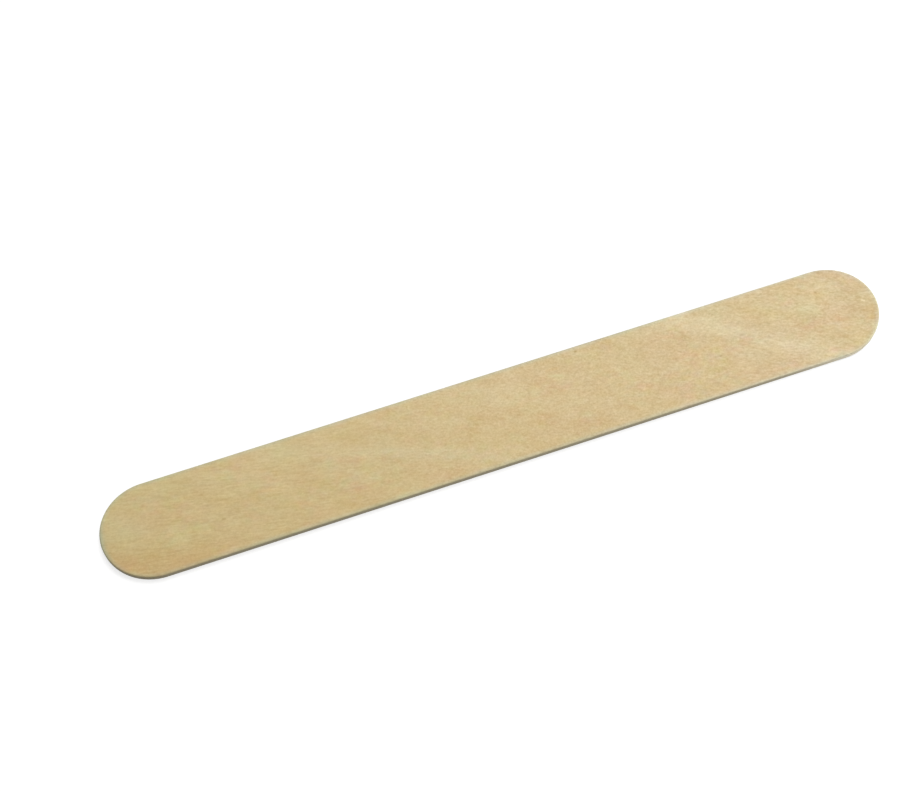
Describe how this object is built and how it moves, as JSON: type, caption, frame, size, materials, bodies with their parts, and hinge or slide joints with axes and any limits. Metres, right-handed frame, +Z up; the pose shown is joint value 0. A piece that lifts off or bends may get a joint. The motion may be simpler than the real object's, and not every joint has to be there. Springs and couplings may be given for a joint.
{
  "type": "tongue depressor",
  "caption": "Flat one-piece birch blade with fully rounded ends and eased edges, held at one end to press the tongue down.",
  "frame": {"origin": "middle of the flat underside, on the surface that the blade lies on", "axes": "+X along the blade's length, +Y across its width, +Z up through its thickness"},
  "size_m": [0.15, 0.018, 0.0016],
  "materials": {
    "birch": "bare birch veneer, tumbled smooth, with no varnish"
  },
  "bodies": {
    "root": {"blade": "birch"}
  },
  "joints": []
}
